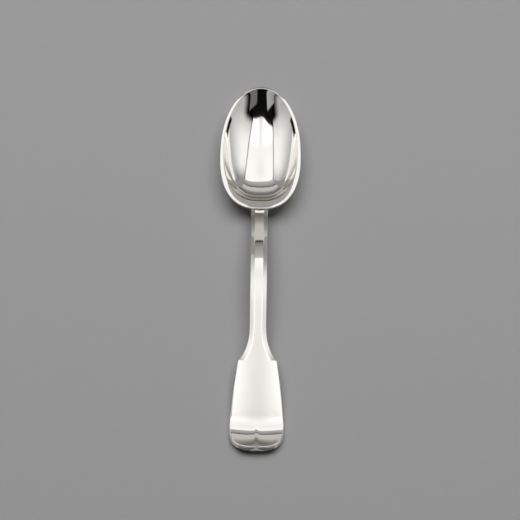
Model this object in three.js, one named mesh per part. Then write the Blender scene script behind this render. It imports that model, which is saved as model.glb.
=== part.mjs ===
// Baby spoon of polished silver, lying face up on its belly and the back of its handle.
// Millimetres, +Z up, +Y towards the tip of the bowl, x = 0 is the middle, z = 0 is the table.

import * as THREE from 'three';
import { LoftGeometry } from 'three/addons/geometries/LoftGeometry.js';

// Overall sizes
const LENGTH = 140;            // tip of the bowl to end of the handle
const BOWL_LENGTH = 49.4;      // tip of the bowl to the back of its lip
const BOWL_HALF_WIDTH = 15.12; // at the middle of the bowl's length
const EGG = 0.13;              // how much broader the heel of the bowl is than its tip
const TIP_FULLNESS = 2.1;      // power of the outline: 2 is a plain ellipse, more is squarer
const HEEL_FULLNESS = 2.5;

// Rim of the bowl
const RIM_SIDE = 1.35;         // ground top of the rim, at the sides
const RIM_TIP = 0.8;           // the same at the tip
const LIP = 3.2;               // the same at the heel, where the stem joins
const RIM_EDGE = 0.9;          // upright outer edge below the ground top
const RIM_RISE = 0.053;        // climb of the rim towards the tip, per mm
const RIM_TILT = 0.13;         // fall of the rim's inner band towards the hollow, per mm
const BEVEL_TILT = 0.04;       // fall of the rim's outer band towards the edge, per mm
const BEVEL_TIP_TILT = 0.35;   // the same at the very tip
const BEVEL_TIP_REACH = 0.1;   // part of the bowl's length in which it gets so steep
const BEVEL_SHARE = 0.8;       // share of the rim that the outer band takes
const BEVEL_HEEL_SHARE = 0.25; // the same at the heel
const BEVEL_REACH = 0.3;       // part of the bowl's length in which the share changes
const BEVEL_ROOT = 0.1;        // what is left of it at the root of the stem, where the inner band is the lip

// Hollow of the bowl, depths below the rim along the middle
const DISH_DEPTH = 6.7;        // depth of the dish before its two end walls take from it
const TIP_POWER = 2.65;        // the floor falls away from the tip with this power
const HEEL_POWER = 12;         // and climbs to the heel with this one, so the heel is a steep wall
const WALL_DROP = 0.75;        // extra depth gained in a steep wall under the rim
const WALL_REACH = 0.15;       // part of the hollow's half width in which it is mostly gained
const TIP_FLATNESS = -0.22;    // flatness of the floor across at the tip: 0 is a parabola, more is flatter
const HEEL_FLATNESS = 0.73;    // the same at the heel, where the side walls are steeper
const BELLY_HEEL_POWER = 9;    // the belly is rounder at the heel than the hollow
const BELLY_EXTRA = 0.5;       // the belly is this much deeper than the hollow, besides the rim's edge
const BELLY_FLAT = 0.12;       // worn off the belly, which leaves a flat to rest on

// Handle, seen from the side
const NECK_SLOPE = THREE.MathUtils.degToRad(18.6);   // climb of the stem behind the bowl
const NECK_RADIUS = 75;                              // arch of the stem
const BEND_RADIUS = 19;                              // turned-up end
const BEND_TO_END = 9.1;                             // lowest place of the bend to the end
const LIP_STEP = 1.2;          // the lip stands this far above the foot of the stem
const FOOT_DIP = 0.9;          // the stem dips by this much into the joint
const FOOT_DIP_LENGTH = 2.5;
const STEM_THICKNESS = 3.1;
const BLADE_THICKNESS = 2.0;
const END_THICKNESS = 1.7;     // the blade thins towards its end
const BACK_FLAT = 0.06;        // worn off the back of the bend

// Handle, seen from above (half widths)
const STEM_HALF_WIDTH = 3.0;
const FOOT_FLARE = 0.25;       // the stem is this much wider at its foot
const FACET_HALF_WIDTH = 1.55; // flat facet along the top of the stem
const CHAMFER_DROP = 0.6;      // fall of the chamfers beside it
const FLARE_LENGTH = 13.7;     // stem widening towards the shoulders
const FLARE_HALF_WIDTH = 6.95; // where the flare meets the shoulders
const FLARE_FACET = 4.9;
const FLARE_POWER = 2.95;      // the flare opens slowly at first
const SHOULDER_HALF_WIDTH = 7.1;
const SHOULDER_TO_END = 32.3;
const BLADE_HALF_WIDTH = 9.82;
const BLADE_POWER = 1.4;       // the blade's sides bow outwards
const BLADE_END_LENGTH = 8.5;  // rounded end beyond the widest place
const BLADE_END_FLAT = 2.5;    // straight middle of the end
const BLADE_CROWN = 0.25;      // the blade's middle stands this far above its edges
const EDGE_BREAK = 0.3;        // small chamfer around the blade
const BACK_CHAMFER = 0.84;     // chamfers along the back: their width
const BACK_CHAMFER_RISE = 0.6; // and their rise
const RIB_HEIGHT = 1.0;        // short ridge on the turned-up end
const RIB_HALF_WIDTH = 2.2;
const RIB_LENGTH = 10.7;
const RIB_GROWTH = 2.5;        // power with which the ridge rises
const STEP_LENGTH = 0.05;      // length in which a sharp step is made

// Soldered lap under the heel
const TONGUE_LENGTH = 5.0;     // tongue of the handle under the bowl
const TONGUE_TIP_THICKNESS = 0.5;
const TONGUE_TIP_HALF_WIDTH = 0.86;
const TONGUE_FACET = 0.6;      // even part of its top, as a part of its width
const LAP_GAP = 0.8;           // upright space between bowl and tongue
const SOLDER_CLEARANCE = 0.3;  // space left around the solder
const SOLDER_WELL = 1.25;      // pocket for the solder behind the lip
const SOLDER_HALF_WIDTH = 2.0;
const FILLET_BELOW_LIP = 0.2;  // top of the solder, below the lip

// Places worked out from the sizes
const TIP_Y = LENGTH / 2;
const END_Y = -LENGTH / 2;
const HEEL_Y = TIP_Y - BOWL_LENGTH;
const SHOULDER_Y = END_Y + SHOULDER_TO_END;
const FLARE_START_Y = SHOULDER_Y + FLARE_LENGTH;
const BEND_Y = END_Y + BEND_TO_END;
// The end face leans with the bend, so its top edge lies behind the end.
const TOP_END_Y = BEND_Y - BEND_TO_END / (1 + END_THICKNESS / BEND_RADIUS);
const WIDEST_Y = TOP_END_Y + BLADE_END_LENGTH;
const RIB_START_Y = TOP_END_Y + RIB_LENGTH;
const TONGUE_TIP_Y = HEEL_Y + TONGUE_LENGTH;
const WELL_Y = HEEL_Y - SOLDER_WELL;

const mix = THREE.MathUtils.lerp;
const smooth = THREE.MathUtils.smoothstep;

// Two skins of the bowl: the hollow inside and the belly outside
const HOLLOW = {
  heelY: HEEL_Y + LIP,
  tipY: TIP_Y - RIM_TIP,
  halfWidth: BOWL_HALF_WIDTH - RIM_SIDE,
  depth: DISH_DEPTH,
  heelPower: HEEL_POWER,
  below: 0,
};
const BELLY = {
  heelY: HEEL_Y,
  tipY: TIP_Y,
  halfWidth: BOWL_HALF_WIDTH,
  depth: DISH_DEPTH + WALL_DROP + BELLY_EXTRA,
  heelPower: BELLY_HEEL_POWER,
  below: RIM_EDGE,
};

// Egg-shaped outline: its half width at a place along it, from -1 (heel) to 1 (tip), as a part of
// the middle's.
function fullness(along) {
  return along > 0 ? TIP_FULLNESS : HEEL_FULLNESS;
}

function breadth(along) {
  const power = fullness(along);
  const round = Math.max(0, 1 - Math.abs(along) ** power) ** (1 / power);
  return round * Math.sqrt(1 - EGG * along);
}

// Point of a skin's outline; angle 0 is the tip.
function outline(skin, angle) {
  const turn = Math.cos(angle);
  const along = Math.sign(turn) * Math.abs(turn) ** (2 / fullness(turn));
  return {
    x: skin.halfWidth * Math.sign(Math.sin(angle)) * breadth(along),
    y: mix(skin.heelY, skin.tipY, (1 + along) / 2),
  };
}

// Depth of a skin below its own rim line: along the middle it falls from the tip and climbs to the
// heel; across it is a parabola whose floor flattens towards the heel.
function dish(skin, x, y) {
  const gone = THREE.MathUtils.clamp((skin.tipY - y) / (skin.tipY - skin.heelY), 0, 1);
  const half = skin.halfWidth * breadth(1 - 2 * gone);
  const across = half > 0 ? Math.min(1, (x / half) ** 2) : 1;
  const middle = skin.depth * (1 - (1 - gone) ** TIP_POWER - gone ** skin.heelPower);
  return middle * (1 - across) * (1 + mix(TIP_FLATNESS, HEEL_FLATNESS, gone) * across);
}

// Lowest place of the belly, measured down from the lip
function lowestBelly() {
  let lowest = { y: HEEL_Y, drop: 0 };
  for (let y = HEEL_Y; y < TIP_Y; y += STEP_LENGTH) {
    const drop = dish(BELLY, 0, y) + RIM_EDGE - RIM_RISE * (y - HEEL_Y);
    if (drop > lowest.drop) {
      lowest = { y, drop };
    }
  }
  return lowest;
}
const BELLY_LOW = lowestBelly();
const LIP_Z = BELLY_LOW.drop - BELLY_FLAT;

function rimHeight(y) {
  return LIP_Z + RIM_RISE * (y - HEEL_Y);
}

function skinHeight(skin, x, y) {
  return Math.max(0, rimHeight(y) - skin.below - dish(skin, x, y));
}

// Bowl: rings from the middle of the hollow up to the rim, over it and down to the belly
const RING_POINTS = 72;
const RINGS = 16;
const RING_SPACING = 0.8;      // power that draws the rings closer towards the rim
const FLAT_RING = 0.08;        // size of the innermost ring of the belly, inside its flat

// Rim at an angle around the bowl: two bands that meet in a crest, the inner falling to the hollow
// and the outer to the edge
function rim(angle) {
  const inner = outline(HOLLOW, angle);
  const outer = outline(BELLY, angle);
  const width = Math.hypot(outer.x - inner.x, outer.y - inner.y);
  const fromHeel = (outer.y - HEEL_Y) / BOWL_LENGTH;
  const atHeel = outer.y < BELLY_LOW.y;
  const besideStem = smooth(Math.abs(outer.x), STEM_HALF_WIDTH, 2 * STEM_HALF_WIDTH);
  const left = atHeel ? mix(BEVEL_ROOT, 1, besideStem) : 1;
  const share = left * mix(BEVEL_HEEL_SHARE, BEVEL_SHARE, smooth(fromHeel, 0, BEVEL_REACH));
  const tilt = mix(BEVEL_TILT, BEVEL_TIP_TILT, smooth(fromHeel, 1 - BEVEL_TIP_REACH, 1));
  return {
    crest: { x: mix(outer.x, inner.x, share), y: mix(outer.y, inner.y, share) },
    innerFall: RIM_TILT * width * (1 - share),
    outerFall: tilt * width * share,
  };
}

// Ring of points around the bowl, each placed by a function of its angle
function ring(place) {
  return Array.from({ length: RING_POINTS }, (_, i) => place((2 * Math.PI * i) / RING_POINTS));
}

// A ring of a skin is its outline shrunk towards the lowest place.
function skinPoint(skin, size, angle) {
  const edge = outline(skin, angle);
  return { x: size * edge.x, y: mix(BELLY_LOW.y, edge.y, size) };
}

function hollowPoint(size, angle) {
  const { x, y } = skinPoint(HOLLOW, size, angle);
  const wall = WALL_DROP * (1 - Math.exp((size - 1) / WALL_REACH));
  return new THREE.Vector3(x, y, skinHeight(HOLLOW, x, y) - rim(angle).innerFall * size ** 2 - wall);
}

function crestPoint(angle) {
  const { x, y } = rim(angle).crest;
  return new THREE.Vector3(x, y, rimHeight(y));
}

function edgePoint(angle) {
  const { x, y } = outline(BELLY, angle);
  return new THREE.Vector3(x, y, rimHeight(y) - rim(angle).outerFall);
}

function bellyPoint(size, angle) {
  const { x, y } = skinPoint(BELLY, size, angle);
  return new THREE.Vector3(x, y, skinHeight(BELLY, x, y));
}

function bowl() {
  const rings = [];
  for (let i = 0; i <= RINGS; i++) {
    const size = (i / RINGS) ** RING_SPACING;
    rings.push(ring((angle) => hollowPoint(size, angle)));
  }
  rings.push(ring(crestPoint));
  rings.push(ring(edgePoint));
  for (let i = RINGS; i >= 0; i--) {
    const size = mix(FLAT_RING, 1, (i / RINGS) ** RING_SPACING);
    rings.push(ring((angle) => bellyPoint(size, angle)));
  }
  return new LoftGeometry(rings, { capEnd: true });
}

// Top line of the handle: arch of the stem, straight blade, turned-up end
const FOOT_Z = LIP_Z - LIP_STEP;
const ARCH_Y = HEEL_Y - NECK_RADIUS * Math.sin(NECK_SLOPE);
const ARCH_Z = FOOT_Z + FOOT_DIP + NECK_RADIUS * (1 - Math.cos(NECK_SLOPE));
const BEND_Z = BLADE_THICKNESS - BACK_FLAT;
const BACK_FLAT_HALF = 0.9 * Math.sqrt(2 * BEND_RADIUS * BACK_FLAT); // just inside the flat's half length

// The blade is the straight line that touches both arcs, found from the distances between their centres.
const BOTH_RADII = NECK_RADIUS + BEND_RADIUS;
const CENTRES_Y = ARCH_Y - BEND_Y;
const CENTRES_Z = BOTH_RADII - (ARCH_Z - BEND_Z);
const BLADE_LENGTH = Math.sqrt(CENTRES_Y ** 2 + CENTRES_Z ** 2 - BOTH_RADII ** 2);
const BLADE_SLOPE = Math.atan2(BOTH_RADII, BLADE_LENGTH) - Math.atan2(CENTRES_Z, CENTRES_Y);
const BLADE_START_Y = ARCH_Y - NECK_RADIUS * Math.sin(BLADE_SLOPE);
const BLADE_START_Z = ARCH_Z - NECK_RADIUS * (1 - Math.cos(BLADE_SLOPE));
const BEND_START_Y = BEND_Y + BEND_RADIUS * Math.sin(BLADE_SLOPE);

function topLine(y) {
  if (y < BEND_START_Y) {
    return BEND_Z + BEND_RADIUS - Math.sqrt(BEND_RADIUS ** 2 - (y - BEND_Y) ** 2);
  }
  if (y < BLADE_START_Y) {
    return BLADE_START_Z + (y - BLADE_START_Y) * Math.tan(BLADE_SLOPE);
  }
  const arch = ARCH_Z - NECK_RADIUS + Math.sqrt(NECK_RADIUS ** 2 - (y - ARCH_Y) ** 2);
  return arch - FOOT_DIP * Math.exp((y - HEEL_Y) / FOOT_DIP_LENGTH);
}

// Sine of the slope of the turned-up end, whose thickness is measured square to it
function lean(y) {
  return Math.max(0, BEND_Y - y) / BEND_RADIUS;
}

function upright(length, y) {
  return length * Math.sqrt(1 - lean(y) ** 2);
}

function thickness(y) {
  const slim = mix(STEM_THICKNESS, BLADE_THICKNESS, smooth(-y, -HEEL_Y, -SHOULDER_Y));
  return mix(slim, END_THICKNESS, smooth(-y, -BEND_Y, -TOP_END_Y));
}

// Half widths of the handle's edge and of its top facet, and the fall between them
function plan(y) {
  if (y > HEEL_Y) {
    const left = THREE.MathUtils.clamp((TONGUE_TIP_Y - y) / TONGUE_LENGTH, 0, 1);
    const root = STEM_HALF_WIDTH + FOOT_FLARE;
    const rounding = 1 - (TONGUE_TIP_HALF_WIDTH / root) ** 2;
    const half = root * Math.sqrt(1 - rounding * (1 - left) ** 2);
    return { edge: half, facet: TONGUE_FACET * half, fall: 0 };
  }
  if (y > SHOULDER_Y) {
    const foot = FOOT_FLARE * Math.exp((y - HEEL_Y) / FOOT_DIP_LENGTH);
    const flare = Math.max(0, (FLARE_START_Y - y) / FLARE_LENGTH) ** FLARE_POWER;
    return {
      edge: mix(STEM_HALF_WIDTH, FLARE_HALF_WIDTH, flare) + foot,
      facet: mix(FACET_HALF_WIDTH, FLARE_FACET, flare) + foot,
      fall: CHAMFER_DROP,
    };
  }
  const before = Math.max(0, (y - WIDEST_Y) / (SHOULDER_Y - WIDEST_Y));
  const after = Math.max(0, (WIDEST_Y - y) / BLADE_END_LENGTH);
  const side = mix(BLADE_HALF_WIDTH, SHOULDER_HALF_WIDTH, before ** BLADE_POWER);
  const rounding = 1 - (BLADE_END_FLAT / side) ** 3;
  const edge = side * Math.cbrt(1 - rounding * after ** 3);
  return { edge, facet: edge - EDGE_BREAK, fall: EDGE_BREAK };
}

// Ridge on the turned-up end, highest at the end
function rib(x, y) {
  const out = THREE.MathUtils.clamp((RIB_START_Y - y) / RIB_LENGTH, 0, 1);
  return RIB_HEIGHT * out ** RIB_GROWTH * Math.max(0, 1 - Math.abs(x) / RIB_HALF_WIDTH);
}

// The lap keeps clear of the belly of the bowl, and the well keeps room for solder.
const WELL_Z = LIP_Z - RIM_EDGE - LAP_GAP;

function lapHeight(x, y) {
  if (y > HEEL_Y) {
    return skinHeight(BELLY, x, y) - LAP_GAP;
  }
  return y > WELL_Y ? WELL_Z : Infinity;
}

function backLine(y) {
  if (y < HEEL_Y) {
    return Math.max(0, topLine(y) - upright(thickness(y), y));
  }
  const tip = lapHeight(0, TONGUE_TIP_Y) - TONGUE_TIP_THICKNESS;
  return mix(FOOT_Z - STEM_THICKNESS, tip, (y - HEEL_Y) / TONGUE_LENGTH);
}

// One cross-section of the handle, from its right edge over the top and back underneath
const TOP_STEPS = [1, 0.75, 0.5, 0.25, 0, -0.25, -0.5, -0.75, -1];

function handleSection(y) {
  const { edge, facet, fall } = plan(y);
  const middle = topLine(y);
  const back = backLine(y);
  const crown = y < SHOULDER_Y ? BLADE_CROWN : 0;
  const topAt = (x, drop) => {
    const height = middle - crown * (x / BLADE_HALF_WIDTH) ** 2 - drop + upright(rib(x, y), y);
    return Math.max(back + TONGUE_TIP_THICKNESS / 2, Math.min(height, lapHeight(x, y)));
  };
  const points = [];
  const put = (x, z, out = 0) => points.push(new THREE.Vector3(x, y + out * lean(y), z));
  const under = -thickness(y);
  const shoulderZ = topAt(edge, fall);
  const heel = Math.min(back + BACK_CHAMFER_RISE, (back + shoulderZ) / 2);
  const flat = Math.max(edge - BACK_CHAMFER, edge / 2);
  put(edge, heel, under);
  put(edge, shoulderZ);
  for (const step of TOP_STEPS) {
    const x = step * facet;
    put(x, topAt(x, 0), rib(x, y));
  }
  put(-edge, shoulderZ);
  put(-edge, heel, under);
  put(-flat, back, under);
  put(0, back, under);
  put(flat, back, under);
  return points;
}

// Skin through sections, closed at the middle of the first and the last
function loft(sections) {
  const closing = (section) => {
    const middle = new THREE.Vector3();
    section.forEach((point) => middle.addScaledVector(point, 1 / section.length));
    return section.map(() => middle);
  };
  return new LoftGeometry([closing(sections[0]), ...sections, closing(sections.at(-1))]);
}

// Even stations from one place to another, without the last
function stations(from, to, count) {
  return Array.from({ length: count }, (_, i) => mix(from, to, i / count));
}

function handle() {
  const places = [
    ...stations(TONGUE_TIP_Y, HEEL_Y, 8),
    HEEL_Y,
    WELL_Y + STEP_LENGTH,
    ...stations(WELL_Y, ARCH_Y, 9),
    ...stations(ARCH_Y, FLARE_START_Y, 6),
    ...stations(FLARE_START_Y, SHOULDER_Y + STEP_LENGTH, 8),
    SHOULDER_Y + STEP_LENGTH,
    ...stations(SHOULDER_Y, WIDEST_Y, 10),
    BEND_Y + BACK_FLAT_HALF,
    BEND_Y - BACK_FLAT_HALF,
  ];
  const endSteps = 12;
  for (let i = 0; i <= endSteps; i++) {
    const turn = (Math.PI / 2) * (i / endSteps);
    places.push(WIDEST_Y - BLADE_END_LENGTH * Math.sin(turn) ** (2 / 3));
  }
  places.sort((a, b) => b - a);
  return loft(places.map(handleSection));
}

// Solder: a bar behind the lip that runs on as a film between bowl and tongue
const BAR_Y = HEEL_Y - SOLDER_CLEARANCE;

function solderSection(y) {
  const half = Math.min(SOLDER_HALF_WIDTH, plan(y).edge - SOLDER_CLEARANCE);
  const film = LAP_GAP - 2 * SOLDER_CLEARANCE;
  const inLap = y >= BAR_Y;
  const topAt = (x) =>
    inLap ? skinHeight(BELLY, x, y) - SOLDER_CLEARANCE : LIP_Z - FILLET_BELOW_LIP;
  const bottomAt = (x) => (inLap ? topAt(x) - film : WELL_Z + SOLDER_CLEARANCE);
  const across = [1, 0.5, 0, -0.5, -1].map((step) => step * half);
  const over = across.map((x) => new THREE.Vector3(x, y, topAt(x)));
  const under = across.map((x) => new THREE.Vector3(x, y, bottomAt(x))).reverse();
  return [...over, ...under];
}

function solder() {
  const places = [
    ...stations(TONGUE_TIP_Y - SOLDER_CLEARANCE, HEEL_Y, 8),
    HEEL_Y,
    BAR_Y,
    BAR_Y - STEP_LENGTH,
    WELL_Y + SOLDER_CLEARANCE,
  ];
  return loft(places.map(solderSection));
}

const polishedSilver = new THREE.MeshStandardMaterial({
  color: 0xf4f1ea,
  roughness: 0.08,
  metalness: 1,
});
const hardSolder = new THREE.MeshStandardMaterial({
  color: 0xe6e2d6,
  roughness: 0.2,
  metalness: 1,
});

function piece(name, geometry, material) {
  const mesh = new THREE.Mesh(geometry, material);
  mesh.name = name;
  return mesh;
}

const spoon = new THREE.Group();
spoon.name = 'baby_spoon';
spoon.add(piece('bowl', bowl(), polishedSilver));
spoon.add(piece('handle', handle(), polishedSilver));
spoon.add(piece('solder_seam', solder(), hardSolder));

export default spoon;
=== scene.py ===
import math

import bpy
import numpy as np
from mathutils import Matrix, Vector


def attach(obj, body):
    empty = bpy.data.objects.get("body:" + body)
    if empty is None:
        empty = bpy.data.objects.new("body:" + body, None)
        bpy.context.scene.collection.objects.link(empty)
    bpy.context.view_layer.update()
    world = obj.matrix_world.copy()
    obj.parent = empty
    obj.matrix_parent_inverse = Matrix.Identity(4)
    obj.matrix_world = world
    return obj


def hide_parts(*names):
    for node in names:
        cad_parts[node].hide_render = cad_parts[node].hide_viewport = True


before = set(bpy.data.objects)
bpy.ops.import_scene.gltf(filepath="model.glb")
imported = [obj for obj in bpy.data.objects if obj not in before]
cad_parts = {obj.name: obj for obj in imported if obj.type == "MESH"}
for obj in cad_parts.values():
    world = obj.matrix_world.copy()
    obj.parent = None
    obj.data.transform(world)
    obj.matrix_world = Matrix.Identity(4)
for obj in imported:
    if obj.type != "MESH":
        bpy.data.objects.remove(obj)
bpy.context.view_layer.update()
scene = bpy.context.scene

MM = 0.001   # all sizes below are millimetres, and a mesh gets them in metres
TINY = 1e-9  # keeps a division from meeting zero

# Places along the spoon
TIP_Y = 70.0           # tip of the bowl
HEEL_Y = 20.6          # back of its lip, where the stem starts
END_Y = -70.0          # end of the handle

# Bowl, seen from above
BOWL_HALF_WIDTH = 15.12
EGG = 0.13             # how much broader the heel is than the tip
TIP_FULLNESS = 2.1     # power of the outline: 2 is a plain ellipse, more is squarer
HEEL_FULLNESS = 2.5
RIM_SIDE = 1.35        # ground top of the rim, at the sides
RIM_TIP = 0.8          # the same at the tip
LIP = 3.2              # the same at the heel, where the stem joins

# Bowl, seen from the side
RIM_EDGE = 0.9         # upright outer edge
RIM_RISE = 0.053       # climb of the rim towards the tip, per mm
RIM_TILT = 0.13        # fall of the rim's inner band towards the hollow, per mm
BEVEL_TILT = 0.04      # fall of the rim's outer band towards the edge, per mm
BEVEL_TIP_TILT = 0.35  # the same at the very tip
BEVEL_TIP_REACH = 0.1  # part of the bowl's length in which it gets so steep
BEVEL_SHARE = 0.8      # share of the rim that the outer band takes
BEVEL_HEEL_SHARE = 0.25  # the same at the heel
BEVEL_REACH = 0.3      # part of the bowl's length in which the share changes
BEVEL_ROOT = 0.1       # what is left of it at the root of the stem, where the inner band is the lip
CREST_SOFTNESS = 0.08  # rounding between the two bands
DISH_DEPTH = 6.7       # depth of the dish before its two end walls take from it
TIP_POWER = 2.65       # the floor falls away from the tip with this power
HEEL_POWER = 12        # and climbs to the heel with this one, so the heel is a steep wall
WALL_DROP = 0.75       # extra depth gained in a steep wall under the rim
WALL_REACH = 0.15      # part of the hollow's half width in which it is mostly gained
BELLY_HEEL_POWER = 9   # the belly is rounder at the heel than the hollow
BELLY_EXTRA = 0.5      # the belly is this much deeper than the hollow, besides the rim's edge
TIP_FLATNESS = -0.22   # flatness of the floor across at the tip: 0 is a parabola, more is flatter
HEEL_FLATNESS = 0.73   # the same at the heel, where the side walls are steeper
BELLY_FLAT = 0.12      # worn off the belly

# Handle, seen from the side
NECK_SLOPE = math.radians(18.6)  # climb of the stem at the heel
NECK_RADIUS = 75.0     # of the arch
BEND_RADIUS = 19.0     # of the turned-up end
BEND_TO_END = 9.1      # length from the lowest place of the bend to the end
ARC_LIMIT = 0.9        # an arc is followed no further than this part of its radius
LIP_STEP = 1.2         # the stem's top starts this far below the lip
FOOT_DIP = 0.9         # the arch dips by this much at its root
FOOT_DIP_LENGTH = 2.5  # length in which the dip mostly fades
STEM_THICKNESS = 3.1
BLADE_THICKNESS = 2.0
END_THICKNESS = 1.7
BACK_FLAT = 0.06       # worn off the back of the bend

# Handle, seen from above
STEM_HALF_WIDTH = 3.0
FOOT_FLARE = 0.25      # the stem's root is this much wider on each side
FACET_HALF_WIDTH = 1.55  # flat top of the stem
CHAMFER_DROP = 0.6     # fall of the chamfers beside it
FLARE_LENGTH = 13.7    # length in which the stem widens towards the shoulders
FLARE_HALF_WIDTH = 6.95
FLARE_FACET = 4.9      # half width of the flat top at the shoulders
FLARE_POWER = 2.95     # power with which the flare widens
SHOULDER_HALF_WIDTH = 7.1  # of the blade, where it starts
SHOULDER_TO_END = 32.3
SHOULDER_STEP = 0.2    # length in which the chamfers end at the shoulders
BLADE_HALF_WIDTH = 9.82
BLADE_POWER = 1.4      # power with which the blade narrows towards the shoulders
BLADE_END_LENGTH = 8.5  # rounded end, from the widest place on
BLADE_END_FLAT = 2.5   # half width that is left at the very end
BLADE_CROWN = 0.25     # the blade's middle stands this far above its edges
END_DISH = 0.15        # at the very end the edges stand this far above the middle instead
END_CURL = 0.4         # the very end turns up by this much more than a plain arc
END_ROUND = 0.8        # rounding of the end's upper edge
END_ROUND_REACH = 0.3  # part of the rounded end's length in which that rounding grows
EDGE_BREAK = 0.3       # bevel along the blade's edge
END_EDGE_BREAK = EDGE_BREAK / 10  # what is left of the bevel where the rounding takes over
FACET_SOFTNESS = 0.06  # rounding of the edges between facet and chamfers
BACK_ROUND = 1.4       # rounding along the back: its width
BACK_ROUND_RISE = 0.9  # and its rise
RIB_LENGTH = 10.7
RIB_HEIGHT = 0.45      # sharp ridge on the turned-up end
RIB_WIDTH = 0.4
RIB_GROWTH = 1.3       # power with which the ridge rises
SWELL_HEIGHT = 0.4     # broad swelling under it at the very end
SWELL_WIDTH = 3.2
SWELL_GROWTH = 6       # power with which the swelling rises

# Joint under the heel
TONGUE_LENGTH = 5.0
TONGUE_TIP_HALF_WIDTH = 0.86
TONGUE_TIP_THICKNESS = 0.5
LAP_GAP = 0.8          # from the belly to the tongue's tip, before the lap is closed
LAP_FIT = 0.1          # closed lap, as the solder leaves it
SOLDER_START = 0.35    # groove left between the lip and the solder
SOLDER_LENGTH = 1.3
SOLDER_HALF_WIDTH = 1.75
SOLDER_SQUARENESS = 8  # power of its outline
SOLDER_BELOW_LIP = 0.1
SOLDER_SLOPE = 0.06    # climb of its top towards the lip, per mm
SOLDER_SINK = 1.2      # how deep the solder reaches into the joint

# Rings of the solder from the middle of its bottom to the middle of its top: share of depth, share of outline
SOLDER_RINGS = [(1, 0), (1, 1), (0.1, 1), (0.04, 0.985), (0.012, 0.95), (0, 0.88), (0, 0)]

# Fineness of the meshes
LOW_SEARCH = 2001      # places along the bowl at which its lowest one is looked for
BOWL_AROUND = 360      # points in each ring of the bowl
BOWL_RINGS = 111       # rings from the lowest place of the hollow to its edge
RING_CROWDING = 0.8    # power below 1, with which these rings crowd together towards the rim
RIM_RINGS = 21         # rings across the rim
EDGE_RINGS = 11        # rings down its upright edge
SOFT_INSIDE = 4        # the rim is softened from this many rings inside it
SOFT_OUTSIDE = 12      # to this many rings past its edge
SOFT_PASSES = 4
TONGUE_SECTIONS = 24   # cross-sections of the handle: along the tongue,
FOOT_SECTIONS = 40     # the root of the stem,
STEM_SECTIONS = 120    # stem and flare,
SHOULDER_SECTIONS = 50  # the shoulders,
BLADE_SECTIONS = 70    # the blade
END_SECTIONS = 70      # and the rounded end
FINE_FOOT = 4.0        # length of the root, where the cross-sections are closer
FINE_FLARE = 1.0       # they are closest from this far before the shoulders
FINE_BLADE = 0.6       # to this far past them
TOP_POINTS = 161       # points across the top of a cross-section,
BACK_POINTS = 43       # across its back
SIDE_POINTS = 9        # and down each side, from edge to edge
SECTION_PASSES = 2     # softening around each cross-section
END_RINGS = (0.04, 0.3)  # rings on the end face, by their share of the way to its middle
SOLDER_AROUND = 96     # points in each ring of the solder

# Places worked out from the sizes
SHOULDER_Y = END_Y + SHOULDER_TO_END
FLARE_START_Y = SHOULDER_Y + FLARE_LENGTH
BEND_Y = END_Y + BEND_TO_END
TOP_END_Y = BEND_Y - BEND_TO_END / (1 + END_THICKNESS / BEND_RADIUS)  # the end face leans with the bend
WIDEST_Y = TOP_END_Y + BLADE_END_LENGTH
RIB_START_Y = TOP_END_Y + RIB_LENGTH
TONGUE_TIP_Y = HEEL_Y + TONGUE_LENGTH


def mix(a, b, t):
    """The way from a to b, straight, t of it gone."""
    return a + (b - a) * t


def ease(t):
    """From 0 to 1 with a soft start and a soft stop."""
    t = np.clip(t, 0, 1)
    return t * t * (3 - 2 * t)


def ramp(value, start, stop):
    """From 0 where the value is at start to 1 where it is at stop, eased."""
    return ease((value - start) / (stop - start))


def soft_ramp(d, k):
    """Nothing below zero and d above it, with the corner rounded over about k."""
    return (d + np.sqrt(d * d + k * k)) / 2


def squared_off(wave, power):
    """A sine or cosine for an outline of the given power: with 2 it stays as it is, with more the outline
    is squarer."""
    return np.sign(wave) * np.abs(wave) ** (2 / power)


# Bowl: its two skins, as in the part's own solids
HOLLOW = dict(heel=HEEL_Y + LIP, tip=TIP_Y - RIM_TIP, half=BOWL_HALF_WIDTH - RIM_SIDE,
              depth=DISH_DEPTH, heel_power=HEEL_POWER)
BELLY = dict(heel=HEEL_Y, tip=TIP_Y, half=BOWL_HALF_WIDTH,
             depth=DISH_DEPTH + WALL_DROP + BELLY_EXTRA, heel_power=BELLY_HEEL_POWER)


def fullness(along):
    """Power of the outline in the tip's half and in the heel's."""
    return np.where(along > 0, TIP_FULLNESS, HEEL_FULLNESS)


def breadth(along):
    """Half width of the egg outline as a part of its middle's: an ellipse of a power above 2, times a root
    that makes it broader towards the heel."""
    power = fullness(along)
    return np.maximum(0, 1 - np.abs(along) ** power) ** (1 / power) * np.sqrt(1 - EGG * along)


def outline(skin, angle):
    """The egg outline of a skin: angle 0 is the tip, the place along it is the squared-off cosine, and the
    half width is the breadth there."""
    turn = np.cos(angle)
    along = squared_off(turn, fullness(turn))
    x = skin["half"] * np.sign(np.sin(angle)) * breadth(along)
    y = mix(skin["heel"], skin["tip"], (1 + along) / 2)
    return x, y


def dish(skin, x, y):
    """Depth below the rim: along the middle it falls from the tip with one power and climbs to the heel
    with another; across it is a parabola whose floor flattens towards the heel."""
    gone = np.clip((skin["tip"] - y) / (skin["tip"] - skin["heel"]), 0, 1)
    half = np.maximum(skin["half"] * breadth(1 - 2 * gone), TINY)
    across = np.minimum(1, (x / half) ** 2)
    middle = skin["depth"] * (1 - (1 - gone) ** TIP_POWER - gone ** skin["heel_power"])
    return middle * (1 - across) * (1 + mix(TIP_FLATNESS, HEEL_FLATNESS, gone) * across)


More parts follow.
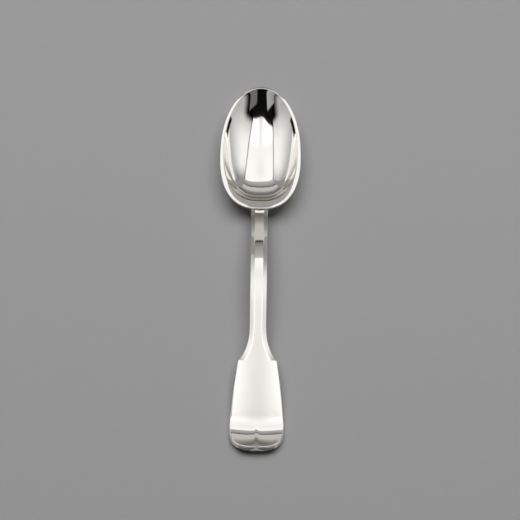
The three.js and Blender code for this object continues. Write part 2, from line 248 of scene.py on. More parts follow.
bowl_line = np.linspace(HEEL_Y, TIP_Y, LOW_SEARCH)
belly_drop = dish(BELLY, 0 * bowl_line, bowl_line) + RIM_EDGE - RIM_RISE * (bowl_line - HEEL_Y)
BELLY_LOW_Y = bowl_line[belly_drop.argmax()]
LIP_Z = belly_drop.max() - BELLY_FLAT


def rim_height(y):
    """The rim's plane, climbing towards the tip."""
    return LIP_Z + RIM_RISE * (y - HEEL_Y)


def belly_height(x, y):
    """Outside of the bowl: the deeper dish under the rim's edge, worn flat where it stands."""
    return np.maximum(0, rim_height(y) - RIM_EDGE - dish(BELLY, x, y))


def soften(rows, first, last, passes):
    """Rounds the edges between two rows of a grid: each row becomes the mean of itself, counted twice, and
    its two neighbours."""
    for _ in range(passes):
        middle = (rows[first - 1:last - 1] + 2 * rows[first:last] + rows[first + 1:last + 1]) / 4
        rows[first:last] = middle
    return rows


def bowl_grid():
    """Rings from the middle of the hollow up its wall, across the tilted rim, down its edge and under the
    belly. A ring of the hollow or the belly is its egg outline shrunk towards the lowest place."""
    around = np.linspace(0, 2 * np.pi, BOWL_AROUND, endpoint=False)
    inner_x, inner_y = outline(HOLLOW, around)
    outer_x, outer_y = outline(BELLY, around)
    rim_width = np.hypot(outer_x - inner_x, outer_y - inner_y)
    from_heel = (outer_y - HEEL_Y) / (TIP_Y - HEEL_Y)
    beside_stem = ease((np.abs(outer_x) - STEM_HALF_WIDTH) / STEM_HALF_WIDTH)
    bevel = rim_width * mix(BEVEL_HEEL_SHARE, BEVEL_SHARE, ease(from_heel / BEVEL_REACH))
    bevel = bevel * np.where(outer_y < BELLY_LOW_Y, mix(BEVEL_ROOT, 1, beside_stem), 1)
    bevel_tilt = mix(BEVEL_TILT, BEVEL_TIP_TILT, ease((from_heel - 1) / BEVEL_TIP_REACH + 1))
    rim_fall = RIM_TILT * (rim_width - bevel)
    sizes = np.linspace(0, 1, BOWL_RINGS)[:, None] ** RING_CROWDING

    x = sizes * inner_x
    y = mix(BELLY_LOW_Y, inner_y, sizes)
    wall = WALL_DROP * (1 - np.exp((sizes - 1) / WALL_REACH))
    hollow = np.stack([x, y, rim_height(y) - rim_fall * sizes ** 2 - wall - dish(HOLLOW, x, y)], -1)

    part = np.linspace(0, 1, RIM_RINGS)[1:, None]
    x = mix(inner_x, outer_x, part)
    y = mix(inner_y, outer_y, part)
    from_crest = rim_width * part - (rim_width - bevel)
    fall = soft_ramp(-from_crest, CREST_SOFTNESS) * RIM_TILT
    fall = fall + soft_ramp(from_crest, CREST_SOFTNESS) * bevel_tilt
    rim = np.stack([x, y, rim_height(y) - fall], -1)

    drop = mix(bevel_tilt * bevel, RIM_EDGE, np.linspace(0, 1, EDGE_RINGS)[1:, None])
    x = outer_x + 0 * drop
    y = outer_y + 0 * drop
    edge = np.stack([x, y, rim_height(y) - drop], -1)

    sizes = sizes[-2::-1]
    x = sizes * outer_x
    y = mix(BELLY_LOW_Y, outer_y, sizes)
    belly = np.stack([x, y, belly_height(x, y)], -1)

    rows = np.concatenate([hollow, rim, edge, belly])
    rim_start = len(hollow) - 1
    edge_end = rim_start + len(rim) + len(edge)
    return soften(rows, rim_start - SOFT_INSIDE, edge_end + SOFT_OUTSIDE, SOFT_PASSES)


# Handle: its lines seen from the side
FOOT_Z = LIP_Z - LIP_STEP
ARCH_Y = HEEL_Y - NECK_RADIUS * math.sin(NECK_SLOPE)
ARCH_Z = FOOT_Z + FOOT_DIP + NECK_RADIUS * (1 - math.cos(NECK_SLOPE))
BEND_Z = BLADE_THICKNESS - BACK_FLAT

# The blade is the straight line that touches both arcs
BOTH_RADII = NECK_RADIUS + BEND_RADIUS
CENTRES_Y = ARCH_Y - BEND_Y
CENTRES_Z = BOTH_RADII - (ARCH_Z - BEND_Z)
BLADE_LENGTH = math.sqrt(CENTRES_Y ** 2 + CENTRES_Z ** 2 - BOTH_RADII ** 2)
BLADE_SLOPE = math.atan2(BOTH_RADII, BLADE_LENGTH) - math.atan2(CENTRES_Z, CENTRES_Y)
BLADE_START_Y = ARCH_Y - NECK_RADIUS * math.sin(BLADE_SLOPE)
BLADE_START_Z = ARCH_Z - NECK_RADIUS * (1 - math.cos(BLADE_SLOPE))
BEND_START_Y = BEND_Y + BEND_RADIUS * math.sin(BLADE_SLOPE)


def arc_drop(away, radius):
    """How far an arc has left its tangent, a given length away from where they touch."""
    away = np.clip(away, -ARC_LIMIT * radius, ARC_LIMIT * radius)
    return radius - np.sqrt(radius ** 2 - away ** 2)


def top_line(y):
    """The middle of the handle's top: an arch that dips into the joint, a straight blade, and the bend, which
    is an arc plus a curl that grows with the square of the way to the end."""
    arch = ARCH_Z - arc_drop(y - ARCH_Y, NECK_RADIUS)
    arch = arch - FOOT_DIP * np.exp(np.minimum(0, y - HEEL_Y) / FOOT_DIP_LENGTH)
    straight = BLADE_START_Z + (y - BLADE_START_Y) * math.tan(BLADE_SLOPE)
    out = np.clip((BEND_Y - y) / (BEND_Y - TOP_END_Y), 0, 1)
    bend = BEND_Z + arc_drop(y - BEND_Y, BEND_RADIUS) + END_CURL * out ** 2
    return np.where(y < BEND_START_Y, bend, np.where(y < BLADE_START_Y, straight, arch))


def lean(y):
    """Sine of the slope of the turned-up end's arc."""
    return np.maximum(0, BEND_Y - y) / BEND_RADIUS


def upright(length, y):
    """Height of a length that stands square to the handle's top."""
    return length * np.sqrt(1 - lean(y) ** 2)


def thickness(y):
    """Thickness of the handle: it eases from the stem's to the blade's, and in the bend to the end's."""
    slim = mix(STEM_THICKNESS, BLADE_THICKNESS, ease((HEEL_Y - y) / (HEEL_Y - SHOULDER_Y)))
    return mix(slim, END_THICKNESS, ease((BEND_Y - y) / (BEND_Y - TOP_END_Y)))


def half_widths(y):
    """Half widths of the edge and of the top facet, and the fall between them. The tongue is a piece of an
    ellipse, the flare widens with a power of the way along it, the blade narrows towards the shoulders with
    another, and its end is a cubic arc."""
    root = STEM_HALF_WIDTH + FOOT_FLARE
    gone = np.clip((y - HEEL_Y) / TONGUE_LENGTH, 0, 1)
    tongue = root * np.sqrt(1 - (1 - (TONGUE_TIP_HALF_WIDTH / root) ** 2) * gone ** 2)

    foot = FOOT_FLARE * np.exp(np.minimum(0, y - HEEL_Y) / FOOT_DIP_LENGTH)
    flare = np.clip((FLARE_START_Y - y) / FLARE_LENGTH, 0, 1) ** FLARE_POWER
    stem_edge = mix(STEM_HALF_WIDTH, FLARE_HALF_WIDTH, flare) + foot
    stem_facet = mix(FACET_HALF_WIDTH, FLARE_FACET, flare) + foot

    before = np.clip((y - WIDEST_Y) / (SHOULDER_Y - WIDEST_Y), 0, 1)
    after = np.clip((WIDEST_Y - y) / BLADE_END_LENGTH, 0, 1)
    side = mix(BLADE_HALF_WIDTH, SHOULDER_HALF_WIDTH, before ** BLADE_POWER)
    blade_edge = side * np.cbrt(1 - (1 - (BLADE_END_FLAT / side) ** 3) * after ** 3)
    blade_fall = mix(EDGE_BREAK, END_EDGE_BREAK, ease(after / END_ROUND_REACH))

    on_blade = ease((SHOULDER_Y + SHOULDER_STEP - y) / SHOULDER_STEP)
    edge = mix(stem_edge, blade_edge, on_blade)
    facet = mix(stem_facet, blade_edge - EDGE_BREAK, on_blade)
    fall = mix(CHAMFER_DROP, blade_fall, on_blade)
    in_lap = y > HEEL_Y
    return np.where(in_lap, tongue, edge), np.where(in_lap, tongue, facet), np.where(in_lap, 0, fall)


def rib(x, y):
    """Rib on the turned-up end: a sharp ridge whose flanks fall off as one over one plus the square of the
    distance from the middle, and a broad bell-shaped swelling. Each grows with its own power of the way to
    the end."""
    out = np.clip((RIB_START_Y - y) / RIB_LENGTH, 0, 1)
    ridge = RIB_HEIGHT * out ** RIB_GROWTH / (1 + (x / RIB_WIDTH) ** 2)
    return ridge + SWELL_HEIGHT * out ** SWELL_GROWTH * np.exp(-(x / SWELL_WIDTH) ** 2)


def end_round(x, y):
    """Fall of the rounded edge around the turned-up end: a quarter circle, by the distance from the outline.
    That is how far the outline's cubic sum is from one, over the steepness of the sum."""
    out = np.clip((WIDEST_Y - y) / BLADE_END_LENGTH, 0, 1)
    reach = 1 - (BLADE_END_FLAT / BLADE_HALF_WIDTH) ** 3
    across = np.abs(x) / BLADE_HALF_WIDTH
    left_over = np.maximum(0, 1 - across ** 3 - reach * out ** 3)
    steepness = 3 * np.hypot(across ** 2 / BLADE_HALF_WIDTH, reach * out ** 2 / BLADE_END_LENGTH)
    depth = END_ROUND * ease(out / END_ROUND_REACH)
    near_edge = np.clip(1 - left_over / np.maximum(steepness, TINY) / END_ROUND, 0, 1)
    return depth * (1 - np.sqrt(1 - near_edge ** 2))


def handle_top(x, y):
    """Top of the handle: the middle line, less a soft-edged chamfer outside the facet, the blade's crown and
    the end's rounded edge, plus the rib. The crown falls with the square of the distance from the middle, and
    turns into a dish at the end."""
    edge, facet, fall = half_widths(y)
    slope = fall / np.maximum(edge - facet, TINY)
    chamfer = soft_ramp((np.abs(x) - facet) * slope, FACET_SOFTNESS) * (fall > 0)
    near_end = ease((RIB_START_Y - y) / RIB_LENGTH)
    crown = BLADE_CROWN * ease((FLARE_START_Y - y) / FLARE_LENGTH) - (BLADE_CROWN + END_DISH) * near_end
    middle = top_line(y) - crown * (x / BLADE_HALF_WIDTH) ** 2 + upright(rib(x, y), y)
    return middle - chamfer - end_round(x, y)


def back_line(y):
    """The middle of the handle's back: one thickness under the top, worn flat where it stands, and straight
    under the tongue."""
    back = np.maximum(0, top_line(y) - upright(thickness(y), y))
    tip = belly_height(0, TONGUE_TIP_Y) - LAP_GAP - TONGUE_TIP_THICKNESS
    tongue = mix(FOOT_Z - STEM_THICKNESS, tip, (y - HEEL_Y) / TONGUE_LENGTH)
    return np.where(y > HEEL_Y, tongue, back)


def handle_places():
    """Places of the cross-sections from the tongue's tip to the end, closer together at the joint and the
    shoulders, and in equal turns around the end's cubic arc."""
    tongue = TONGUE_TIP_Y - TONGUE_LENGTH * np.linspace(0, 1, TONGUE_SECTIONS, endpoint=False) ** 2
    stops = [HEEL_Y, HEEL_Y - FINE_FOOT, SHOULDER_Y + FINE_FLARE, SHOULDER_Y - FINE_BLADE, WIDEST_Y]
    counts = [FOOT_SECTIONS, STEM_SECTIONS, SHOULDER_SECTIONS, BLADE_SECTIONS]
    stretches = [np.linspace(*stretch, endpoint=False) for stretch in zip(stops, stops[1:], counts)]
    turn = np.linspace(0, np.pi / 2, END_SECTIONS)
    end = WIDEST_Y - BLADE_END_LENGTH * np.sin(turn) ** (2 / 3)
    return np.concatenate([tongue, *stretches, end])


def handle_grid():
    """Cross-sections along the handle: over the top from right to left, down the side, along the back with
    its rounded edges, and up again. What stands square to the turned-up end is moved along by its lean, and
    the last rings close the end face."""
    y = handle_places()[:, None]
    edge, _, _ = half_widths(y)
    back = back_line(y)

    x = edge * np.linspace(1, -1, TOP_POINTS)
    z = np.where(y > HEEL_Y, belly_height(x, y) - LAP_FIT, handle_top(x, y))
    z = np.maximum(z, back + TONGUE_TIP_THICKNESS / 2)
    top = np.stack([x, y + rib(x, y) * lean(y), z], -1)

    rise = np.minimum(BACK_ROUND_RISE, (z[:, -1:] - back) / 2)
    width = np.minimum(BACK_ROUND, edge)
    x = -edge * np.sin(np.linspace(1, -1, BACK_POINTS) * np.pi / 2)[1:-1]
    inside = np.clip((np.abs(x) - (edge - width)) / width, 0, 1)
    z = back + rise * (1 - np.sqrt(1 - inside ** 2))
    under = np.stack([x, y - thickness(y) * lean(y) + 0 * x, z], -1)

    steps = np.linspace(0, 1, SIDE_POINTS)[1:-1][None, :, None]
    left = mix(top[:, -1:], under[:, :1], steps)
    right = mix(under[:, -1:], top[:, :1], steps)
    ring = np.concatenate([top, left, under, right], 1)
    for _ in range(SECTION_PASSES):
        ring = (np.roll(ring, 1, 1) + 2 * ring + np.roll(ring, -1, 1)) / 4
    face = ring[-1:]
    centre = face.mean(1, keepdims=True)
    return np.concatenate([ring, *(mix(face, centre, share) for share in END_RINGS)])


def solder_grid():
    """A bar with a flat top behind the lip: rounded rectangles from its bottom to its top."""
    around = np.linspace(0, 2 * np.pi, SOLDER_AROUND, endpoint=False)
    across = squared_off(np.cos(around), SOLDER_SQUARENESS)
    along = squared_off(np.sin(around), SOLDER_SQUARENESS)
    middle = HEEL_Y - SOLDER_START - SOLDER_LENGTH / 2
    depths, sizes = np.array(SOLDER_RINGS).T[..., None]
    x = sizes * SOLDER_HALF_WIDTH * across
    y = middle + sizes * SOLDER_LENGTH / 2 * along
    z = LIP_Z - SOLDER_BELOW_LIP - depths * SOLDER_SINK + SOLDER_SLOPE * (y - middle)
    return np.stack([x, y, z], -1)


def add_object(name, data):
    """Puts a mesh, a lamp or a camera into the scene."""
    thing = bpy.data.objects.new(name, data)
    scene.collection.objects.link(thing)
    return thing


def add_piece(name, rows, material, node):
    """Makes a closed mesh from a grid whose rows are rings, closes both ends at the middle of the end rings,
    turns its faces outwards, and puts it on the part in place of the node."""
    count, points = rows.shape[:2]
    ends = np.stack([rows[0].mean(0), rows[-1].mean(0)])
    vertices = np.concatenate([rows.reshape(-1, 3), ends])
    index = np.arange(count * points).reshape(count, points)
    after = np.roll(index, -1, 1)
    quads = np.stack([index[:-1], after[:-1], after[1:], index[1:]], -1).reshape(-1, 4)
    first = np.stack([after[0], index[0], np.full(points, count * points)], -1)
    last = np.stack([index[-1], after[-1], np.full(points, count * points + 1)], -1)

    corners = vertices[np.concatenate([quads[:, [0, 1, 2]], quads[:, [0, 2, 3]], first, last])]
    volume = np.einsum("ij,ij->i", corners[:, 0], np.cross(corners[:, 1], corners[:, 2])).sum()
    faces = quads.tolist() + first.tolist() + last.tolist()
    if volume < 0:
        faces = [face[::-1] for face in faces]

    mesh = bpy.data.meshes.new(name)
    mesh.from_pydata((vertices * MM).tolist(), [], faces)
    mesh.validate()
    mesh.polygons.foreach_set("use_smooth", np.ones(len(mesh.polygons), bool))
    mesh.materials.append(material)
    piece = add_object(name, mesh)
    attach(piece, "root")
    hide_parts(node)


# Materials
BUFFING_GRAIN = 0.25            # width of the polishing lines
CLOUD_GRAIN = 9.0               # size of the unevenness that polishing leaves
RIPPLE_DEPTH = 1.0              # its depth, of which the bump's strength takes a small part
FILING_GRAIN = 0.2              # width of the file's lines
BOARD_GRAIN = 3.0
LINES_ALONG = (1.0, 0.06, 1.0)  # scale that draws a grain out into lines along the spoon
LINES_ACROSS = (0.1, 1.0, 1.0)  # and into lines across it


def linear(code):
    """An sRGB hex colour as linear values, not see-through."""
    part = np.array([int(code[i:i + 2], 16) for i in (1, 3, 5)]) / 255
    curve = np.where(part <= 0.04045, part / 12.92, ((part + 0.055) / 1.055) ** 2.4)
    return (*curve.tolist(), 1.0)


def add_node(tree, kind, settings=None, inputs=None):
    """Adds a node, sets its properties, and sets or links its input sockets."""
    node = tree.nodes.new(kind)
    for key, value in (settings or {}).items():
        setattr(node, key, value)
    for key, value in (inputs or {}).items():
        if isinstance(value, bpy.types.NodeSocket):
            tree.links.new(value, node.inputs[key])
        else:
            node.inputs[key].default_value = value
    return node


def add_place(tree, scale=(1, 1, 1)):
    """The place on the object, scaled."""
    place = add_node(tree, "ShaderNodeTexCoord").outputs["Object"]
    return add_node(tree, "ShaderNodeMapping", inputs={"Vector": place, "Scale": scale}).outputs["Vector"]


def add_noise(tree, place, grain, detail, roughness=0.5):
    """Soft noise from 0 to 1 whose grains are about the given size."""
    noise = add_node(tree, "ShaderNodeTexNoise", inputs={
        "Vector": place, "Scale": 1 / (grain * MM), "Detail": detail, "Roughness": roughness})
    return noise.outputs["Fac"]


def add_blend(tree, share, first, second):
    """A colour between two hex colours, by a share from 0 to 1."""
    blend = add_node(tree, "ShaderNodeMix", {"data_type": "RGBA"}, {
        "Factor": share, "A": linear(first), "B": linear(second)})
    return blend.outputs["Result"]


def new_material(name):
    """An empty node material."""
    material = bpy.data.materials.new(name)
    material.use_nodes = True
    material.node_tree.nodes.clear()
    return material, material.node_tree


def polished_silver():
    """Silver, buffed to a mirror: a faintly warm white metal with fine polishing lines and a slightly uneven
    surface."""
    material, tree = new_material("polished_silver")
    buffing = add_noise(tree, add_place(tree, LINES_ALONG), BUFFING_GRAIN, detail=3.0, roughness=0.6)
    cloud = add_noise(tree, add_place(tree), CLOUD_GRAIN, detail=2.0)
    tone = add_blend(tree, cloud, "#faf8f4", "#f5f2ed")
    rough = add_node(tree, "ShaderNodeMapRange", inputs={
        "Value": buffing, "From Min": 0.3, "From Max": 0.7, "To Min": 0.03, "To Max": 0.07})
    ripple = add_node(tree, "ShaderNodeBump", inputs={
        "Height": cloud, "Strength": 0.02, "Distance": RIPPLE_DEPTH * MM})
    metal = add_node(tree, "ShaderNodeBsdfPrincipled", inputs={
        "Base Color": tone, "Metallic": 1.0, "Roughness": rough.outputs["Result"],
        "Normal": ripple.outputs["Normal"]})
    add_node(tree, "ShaderNodeOutputMaterial", inputs={"Surface": metal.outputs["BSDF"]})
    return material


def filed_solder():
    """Silver solder, filed flush and rubbed bright: a little yellower and duller than the silver."""
    material, tree = new_material("filed_solder")
    filing = add_noise(tree, add_place(tree, LINES_ACROSS), FILING_GRAIN, detail=2.0)
    tone = add_blend(tree, filing, "#f6f2e8", "#ede8dc")
    rough = add_node(tree, "ShaderNodeMapRange", inputs={"Value": filing, "To Min": 0.05, "To Max": 0.12})
    metal = add_node(tree, "ShaderNodeBsdfPrincipled", inputs={
        "Base Color": tone, "Metallic": 1.0, "Roughness": rough.outputs["Result"]})
    add_node(tree, "ShaderNodeOutputMaterial", inputs={"Surface": metal.outputs["BSDF"]})
    return material


silver = polished_silver()
add_piece("bowl_silver", bowl_grid(), silver, "bowl")
add_piece("handle_silver", handle_grid(), silver, "handle")
add_piece("solder_strip", solder_grid(), filed_solder(), "solder_seam")

# Studio: a pale table, a white scrim above, white panels at the sides, a grey frame and a grey backdrop
TABLE = 6000.0                   # half the table's length and width
ROOF = 2000.0                    # height of the scrim
SCRIM_FRONT_LEFT = (-900, -140)
SCRIM_FRONT_RIGHT = (600, -290)
SCRIM_BACK_RIGHT = (1250, 1000)
SCRIM_BACK_LEFT = (-900, 900)
SAG = 110.0                      # the scrim's front edge hangs forward by this much
SAG_X = -100.0                   # where it does so most
SAG_WIDTH = 380.0
CEILING = [(-1500, -110), (1500, -300), (1500, 1000), (-1500, 900)]  # corners of the dim ceiling
CEILING_RISE = 200.0             # from the scrim up to it
SLIT = 90.0                      # open slit between the scrim and the side panels
PANEL_X = 1790.0                 # foot of the side panels
FRONT_Y = -1500.0                # front end of the studio
FRONT_TOP_X = 1000.0             # upper corner of the front panels there
FRONT_WALL_TOP = 1700.0
SIDE_CARD_X = 1500.0             # black cards that stand on the table at both sides
SIDE_CARD = [(90, 0), (430, 0), (410, 130), (90, 580)]  # and their corners, seen from the side
FRAME = [(-2200, 840), (2200, 1044), (2200, 1450), (-2200, 1450)]  # corners of the frame behind the scrim
FRAME_RISE = 1.0                 # from the scrim up to it
BACKDROP_X = 2500.0
BACKDROP_Y = 1800.0
BACKDROP_TOP = 2380.0
BACKDROP_TINT = (1.02, 1.0, 0.955)
CARD_Z = 1000.0                  # height of the two cards in front
CARD_FRONT_Y = -720.0
GREY_INNER_X = -265.0
GREY_OUTER_X = -620.0
GREY_CARD = [(GREY_INNER_X, -200), (GREY_OUTER_X, -310), (GREY_OUTER_X, CARD_FRONT_Y),
             (GREY_INNER_X, CARD_FRONT_Y)]
DARK_CARD = [(200, -290), (520, -200), (520, CARD_FRONT_Y), (200, CARD_FRONT_Y)]

# Brightness of what the metal mirrors: 1 is white
CEILING_GLOW = 0.3
BACK_PANEL_GLOW = 0.28
SIDE_CARD_GLOW = 0.005
FRONT_WALL_GLOW = 0.1
DARK_CARD_GLOW = 0.15
GREY_INNER_GLOW = 0.42
GREY_OUTER_GLOW = 0.3
SCRIM_LEVELS = {-420: 0.45, -340: 0.58, -270: 0.82, -150: 0.88, 0: 0.94, 150: 1.0, 350: 1.05}  # by y
SCRIM_MIDDLE = 170.0             # half width of the dim middle of its front edge
SCRIM_SIDES = 0.4                # the edge is this much brighter beside it,
SCRIM_SIDES_FRONT = (-370, -250)  # which starts between these places
SCRIM_SIDES_BACK = (0, 200)      # and ends between these
SPOT_DIMMING = 0.13              # faint dim spot further back
SPOT_Y = 520.0
SPOT_WIDTH = 270.0
SPOT_LENGTH = 220.0
PANEL_LEVELS = {28: 1.02, 41: 0.98, 60: 0.68, 75: 0.46, 80: 0.95, 90: 0.95}  # by degrees from overhead
PANEL_FRONT = (-350, 200)        # the panels get dimmer from the second place to the first,
PANEL_FRONT_LEVEL = 0.52         # down to this part,
PANEL_TOP_FRONT = (-150, -300)   # and between these places
PANEL_TOP = (30, 44)             # they fade to nothing within these degrees
PANEL_BACK = (350, 900)          # towards the back they get dimmer between these places,
PANEL_BACK_LEFT = 0.55           # on the left down to this part
PANEL_BACK_RIGHT = 0.35          # and on the right to this,
PANEL_FOOT = (62, 74)            # but not below these degrees
FRAME_LEVELS = {930: 0.47, 1060: 0.41, 1170: 0.36, 1280: 0.31, 1400: 0.2, 1450: 0.16}  # by y
BACKDROP_LEVELS = {0: 0.25, 300: 0.22, 480: 0.17, 720: 0.15,
                   1030: 0.22, 1300: 0.34, 1500: 0.5, 1790: 0.54}  # by height


def table_board():
    """Pale painted board with the faintest grain."""
    material, tree = new_material("painted_board")
    tone = add_blend(tree, add_noise(tree, add_place(tree), BOARD_GRAIN, detail=2.0), "#b4b4b4", "#b7b7b7")
    board = add_node(tree, "ShaderNodeBsdfPrincipled", inputs={
        "Base Color": tone, "Roughness": 0.8, "Specular IOR Level": 0.1})
    add_node(tree, "ShaderNodeOutputMaterial", inputs={"Surface": board.outputs["BSDF"]})
    return material


def studio_panel():
    """A lit panel: each point gives off the brightness stored in its glow attribute."""
    material, tree = new_material("lit_panel")
    glow = add_node(tree, "ShaderNodeAttribute", {"attribute_name": "glow"})
    light = add_node(tree, "ShaderNodeEmission", inputs={"Color": glow.outputs["Color"], "Strength": 1.0})
    add_node(tree, "ShaderNodeOutputMaterial", inputs={"Surface": light.outputs["Emission"]})
    return material


def between(corners, steps=60):
    """A grid of points between four corners, given in turn: straight both ways."""
    u, v = np.meshgrid(np.linspace(0, 1, steps + 1), np.linspace(0, 1, steps + 1), indexing="ij")
    first, second, third, fourth = (np.array(corner, float) for corner in corners)
    return mix(mix(first, second, u[..., None]), mix(fourth, third, u[..., None]), v[..., None])


def level_corners(corners, height):
    """Corners of a level sheet."""
    return [(x, y, height) for x, y in corners]


def upright_corners(half_width, y, height):
    """Corners of a sheet that stands on the table, across the studio."""
    return [(-half_width, y, 0), (half_width, y, 0), (half_width, y, height), (-half_width, y, height)]


def add_sheet(name, points, material, glow=None, tint=(1, 1, 1)):
    """A stage sheet through a grid of points; glow gives the brightness at each of them. Lit sheets show
    only in the metal, and leave the table to the lamp."""
    index = np.arange(points[..., 0].size).reshape(points.shape[:2])
    quads = np.stack([index[:-1, :-1], index[1:, :-1], index[1:, 1:], index[:-1, 1:]], -1).reshape(-1, 4)
    mesh = bpy.data.meshes.new(name)
    mesh.from_pydata((points.reshape(-1, 3) * MM).tolist(), [], quads.tolist())
    mesh.materials.append(material)
    if glow is not None:
        level = glow(points[..., 0], points[..., 1], points[..., 2])
        level = np.broadcast_to(level, index.shape).reshape(-1, 1)
        colours = np.concatenate([level * np.array(tint), np.ones_like(level)], 1).astype(np.float32)
        mesh.attributes.new("glow", "FLOAT_COLOR", "POINT").data.foreach_set("color", colours.ravel())
    sheet = add_object(name, mesh)
    sheet.visible_camera = glow is None
    sheet.visible_diffuse = glow is None


def by_place(place, levels):
    """Brightness at a place, straight between the places whose levels are given."""
    return np.interp(place, list(levels), list(levels.values()))


def even_glow(level):
    """The same brightness all over."""
    return lambda x, y, z: level


def scrim_glow(x, y, z):
    """White, brighter towards the back, with a front edge that is dim in the middle, and a faint dim spot
    further back. Both fade sideways like a bell curve."""
    beside = 1 - np.exp(-(x / SCRIM_MIDDLE) ** 2)
    in_front = ramp(y, *SCRIM_SIDES_FRONT) * (1 - ramp(y, *SCRIM_SIDES_BACK))
    spot = np.exp(-(x / SPOT_WIDTH) ** 2 - ((y - SPOT_Y) / SPOT_LENGTH) ** 2)
    return by_place(y, SCRIM_LEVELS) + SCRIM_SIDES * beside * in_front - SPOT_DIMMING * spot


def panel_glow(x, y, z):
    """Brightness by how far a place leans from overhead: bright next to the scrim, dimmer further down, and
    bright again at the foot. It is dimmer towards the front, where it fades to nothing next to the scrim, and
    above the foot it is dimmer towards the back too."""
    leaning = np.degrees(np.arctan2(np.abs(x), z))
    towards_back = ramp(y, *PANEL_BACK) * (1 - ramp(leaning, *PANEL_FOOT))
    at_back = mix(1, np.where(x < 0, PANEL_BACK_LEFT, PANEL_BACK_RIGHT), towards_back)
    in_front = mix(1, PANEL_FRONT_LEVEL, 1 - ramp(y, *PANEL_FRONT))
    near_scrim = mix(1, ramp(leaning, *PANEL_TOP), ramp(y, *PANEL_TOP_FRONT))
    return by_place(leaning, PANEL_LEVELS) * at_back * in_front * near_scrim


def backdrop_glow(x, y, z):
    """Light grey at the top, dark below, and a little lighter again near the table."""
    return by_place(z, BACKDROP_LEVELS)


def frame_glow(x, y, z):
    """Light grey next to the scrim and dark at its back edge."""
    return by_place(y, FRAME_LEVELS)


def grey_card_glow(x, y, z):
    """Grey, and darker towards its outer edge."""
    return mix(GREY_INNER_GLOW, GREY_OUTER_GLOW, ramp(x, GREY_INNER_X, GREY_OUTER_X))


lit = studio_panel()
table_corners = level_corners([(-TABLE, -TABLE), (TABLE, -TABLE), (TABLE, TABLE), (-TABLE, TABLE)], 0)
add_sheet("table", between(table_corners, steps=1), table_board())

scrim_corners = [SCRIM_FRONT_LEFT, SCRIM_FRONT_RIGHT, SCRIM_BACK_RIGHT, SCRIM_BACK_LEFT]
scrim = between(level_corners(scrim_corners, ROOF))
sag = np.exp(-((scrim[..., 0] - SAG_X) / SAG_WIDTH) ** 2) * np.linspace(1, 0, scrim.shape[1])
scrim[..., 1] -= SAG * sag
add_sheet("scrim", scrim, lit, scrim_glow)

panels = {"ceiling": (level_corners(CEILING, ROOF + CEILING_RISE), even_glow(CEILING_GLOW))}
for name, front, back, side in (("left", SCRIM_FRONT_LEFT, SCRIM_BACK_LEFT, -1),
                                ("right", SCRIM_FRONT_RIGHT, SCRIM_BACK_RIGHT, 1)):
    front_top = (front[0] + side * SLIT, front[1], ROOF)
    front_foot = (side * PANEL_X, front[1], 0)
    back_top = (back[0] + side * SLIT, back[1], ROOF)
    back_foot = (side * PANEL_X, back[1], 0)
    near_top = (side * FRONT_TOP_X, FRONT_Y, ROOF)
    near_foot = (side * PANEL_X, FRONT_Y, 0)
    far_top = (side * PANEL_X, BACKDROP_Y, ROOF)
    far_foot = (side * PANEL_X, BACKDROP_Y, 0)
    card = [(side * SIDE_CARD_X, y, z) for y, z in SIDE_CARD]
    panels["side_panel_" + name] = ([front_top, back_top, back_foot, front_foot], panel_glow)
    panels["front_panel_" + name] = ([near_top, front_top, front_foot, near_foot], panel_glow)
    panels["back_panel_" + name] = ([back_top, far_top, far_foot, back_foot], even_glow(BACK_PANEL_GLOW))
    panels["side_card_" + name] = (card, even_glow(SIDE_CARD_GLOW))
panels["back_frame"] = (level_corners(FRAME, ROOF + FRAME_RISE), frame_glow)
panels["front_wall"] = (upright_corners(PANEL_X, FRONT_Y, FRONT_WALL_TOP), even_glow(FRONT_WALL_GLOW))
panels["grey_card"] = (level_corners(GREY_CARD, CARD_Z), grey_card_glow)
panels["dark_card"] = (level_corners(DARK_CARD, CARD_Z), even_glow(DARK_CARD_GLOW))
for name, (corners, glow) in panels.items():
    add_sheet(name, between(corners), lit, glow)
backdrop = between(upright_corners(BACKDROP_X, BACKDROP_Y, BACKDROP_TOP))
add_sheet("backdrop", backdrop, lit, backdrop_glow, BACKDROP_TINT)

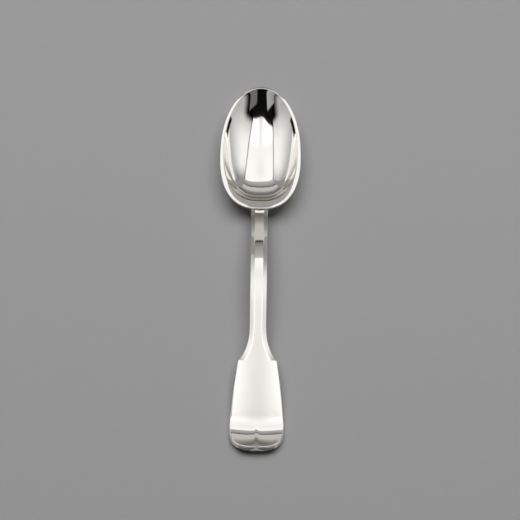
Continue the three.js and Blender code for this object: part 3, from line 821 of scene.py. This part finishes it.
# A soft lamp behind the bowl throws the shadows forward; the metal doesn't mirror it
KEY_PLACE = Vector((0, 700, 1500))
KEY_WIDTH = 2600.0
KEY_DEPTH = 1300.0
KEY_WATTS = 26.5
key = bpy.data.lights.new("key", "AREA")
key.shape = "ELLIPSE"
key.size = KEY_WIDTH * MM
key.size_y = KEY_DEPTH * MM
key.energy = KEY_WATTS
key_lamp = add_object("key", key)
key_lamp.location = KEY_PLACE * MM
key_lamp.rotation_euler = KEY_PLACE.to_track_quat("Z", "Y").to_euler()
key_lamp.visible_glossy = False


def studio_air():
    """The room beyond the panels: dark to the metal, pale grey behind the table to the camera."""
    world = bpy.data.worlds.new("studio_air")
    world.use_nodes = True
    tree = world.node_tree
    tree.nodes.clear()
    seen = add_node(tree, "ShaderNodeLightPath").outputs["Is Camera Ray"]
    air = add_node(tree, "ShaderNodeBackground", inputs={
        "Color": add_blend(tree, seen, "#0c0c0c", "#9a9a9a"), "Strength": 1.0})
    add_node(tree, "ShaderNodeOutputWorld", inputs={"Surface": air.outputs["Background"]})
    return world


scene.world = studio_air()
scene.view_settings.view_transform = "Standard"

# Camera: seen from the handle's side, almost from above, rolled a little
CAMERA_RISE = math.radians(69.5)
CAMERA_DISTANCE = 533.0
CAMERA_ROLL = math.radians(0.83)
CAMERA_AIM = Vector((0.39, 1.1, 5.0))
CAMERA_LENS = 100.0
CAMERA_SENSOR = 36.0
camera = bpy.data.cameras.new("camera")
camera.lens = CAMERA_LENS
camera.sensor_width = CAMERA_SENSOR
eye = add_object("camera", camera)
backwards = Vector((0, -math.cos(CAMERA_RISE), math.sin(CAMERA_RISE)))
right = Vector((1, 0, 0))
up = backwards.cross(right)
turned_right = math.cos(CAMERA_ROLL) * right + math.sin(CAMERA_ROLL) * up
turned_up = backwards.cross(turned_right)
axes = Matrix((turned_right, turned_up, backwards)).transposed().to_4x4()
eye.matrix_world = Matrix.Translation((CAMERA_AIM + CAMERA_DISTANCE * backwards) * MM) @ axes
scene.camera = eye
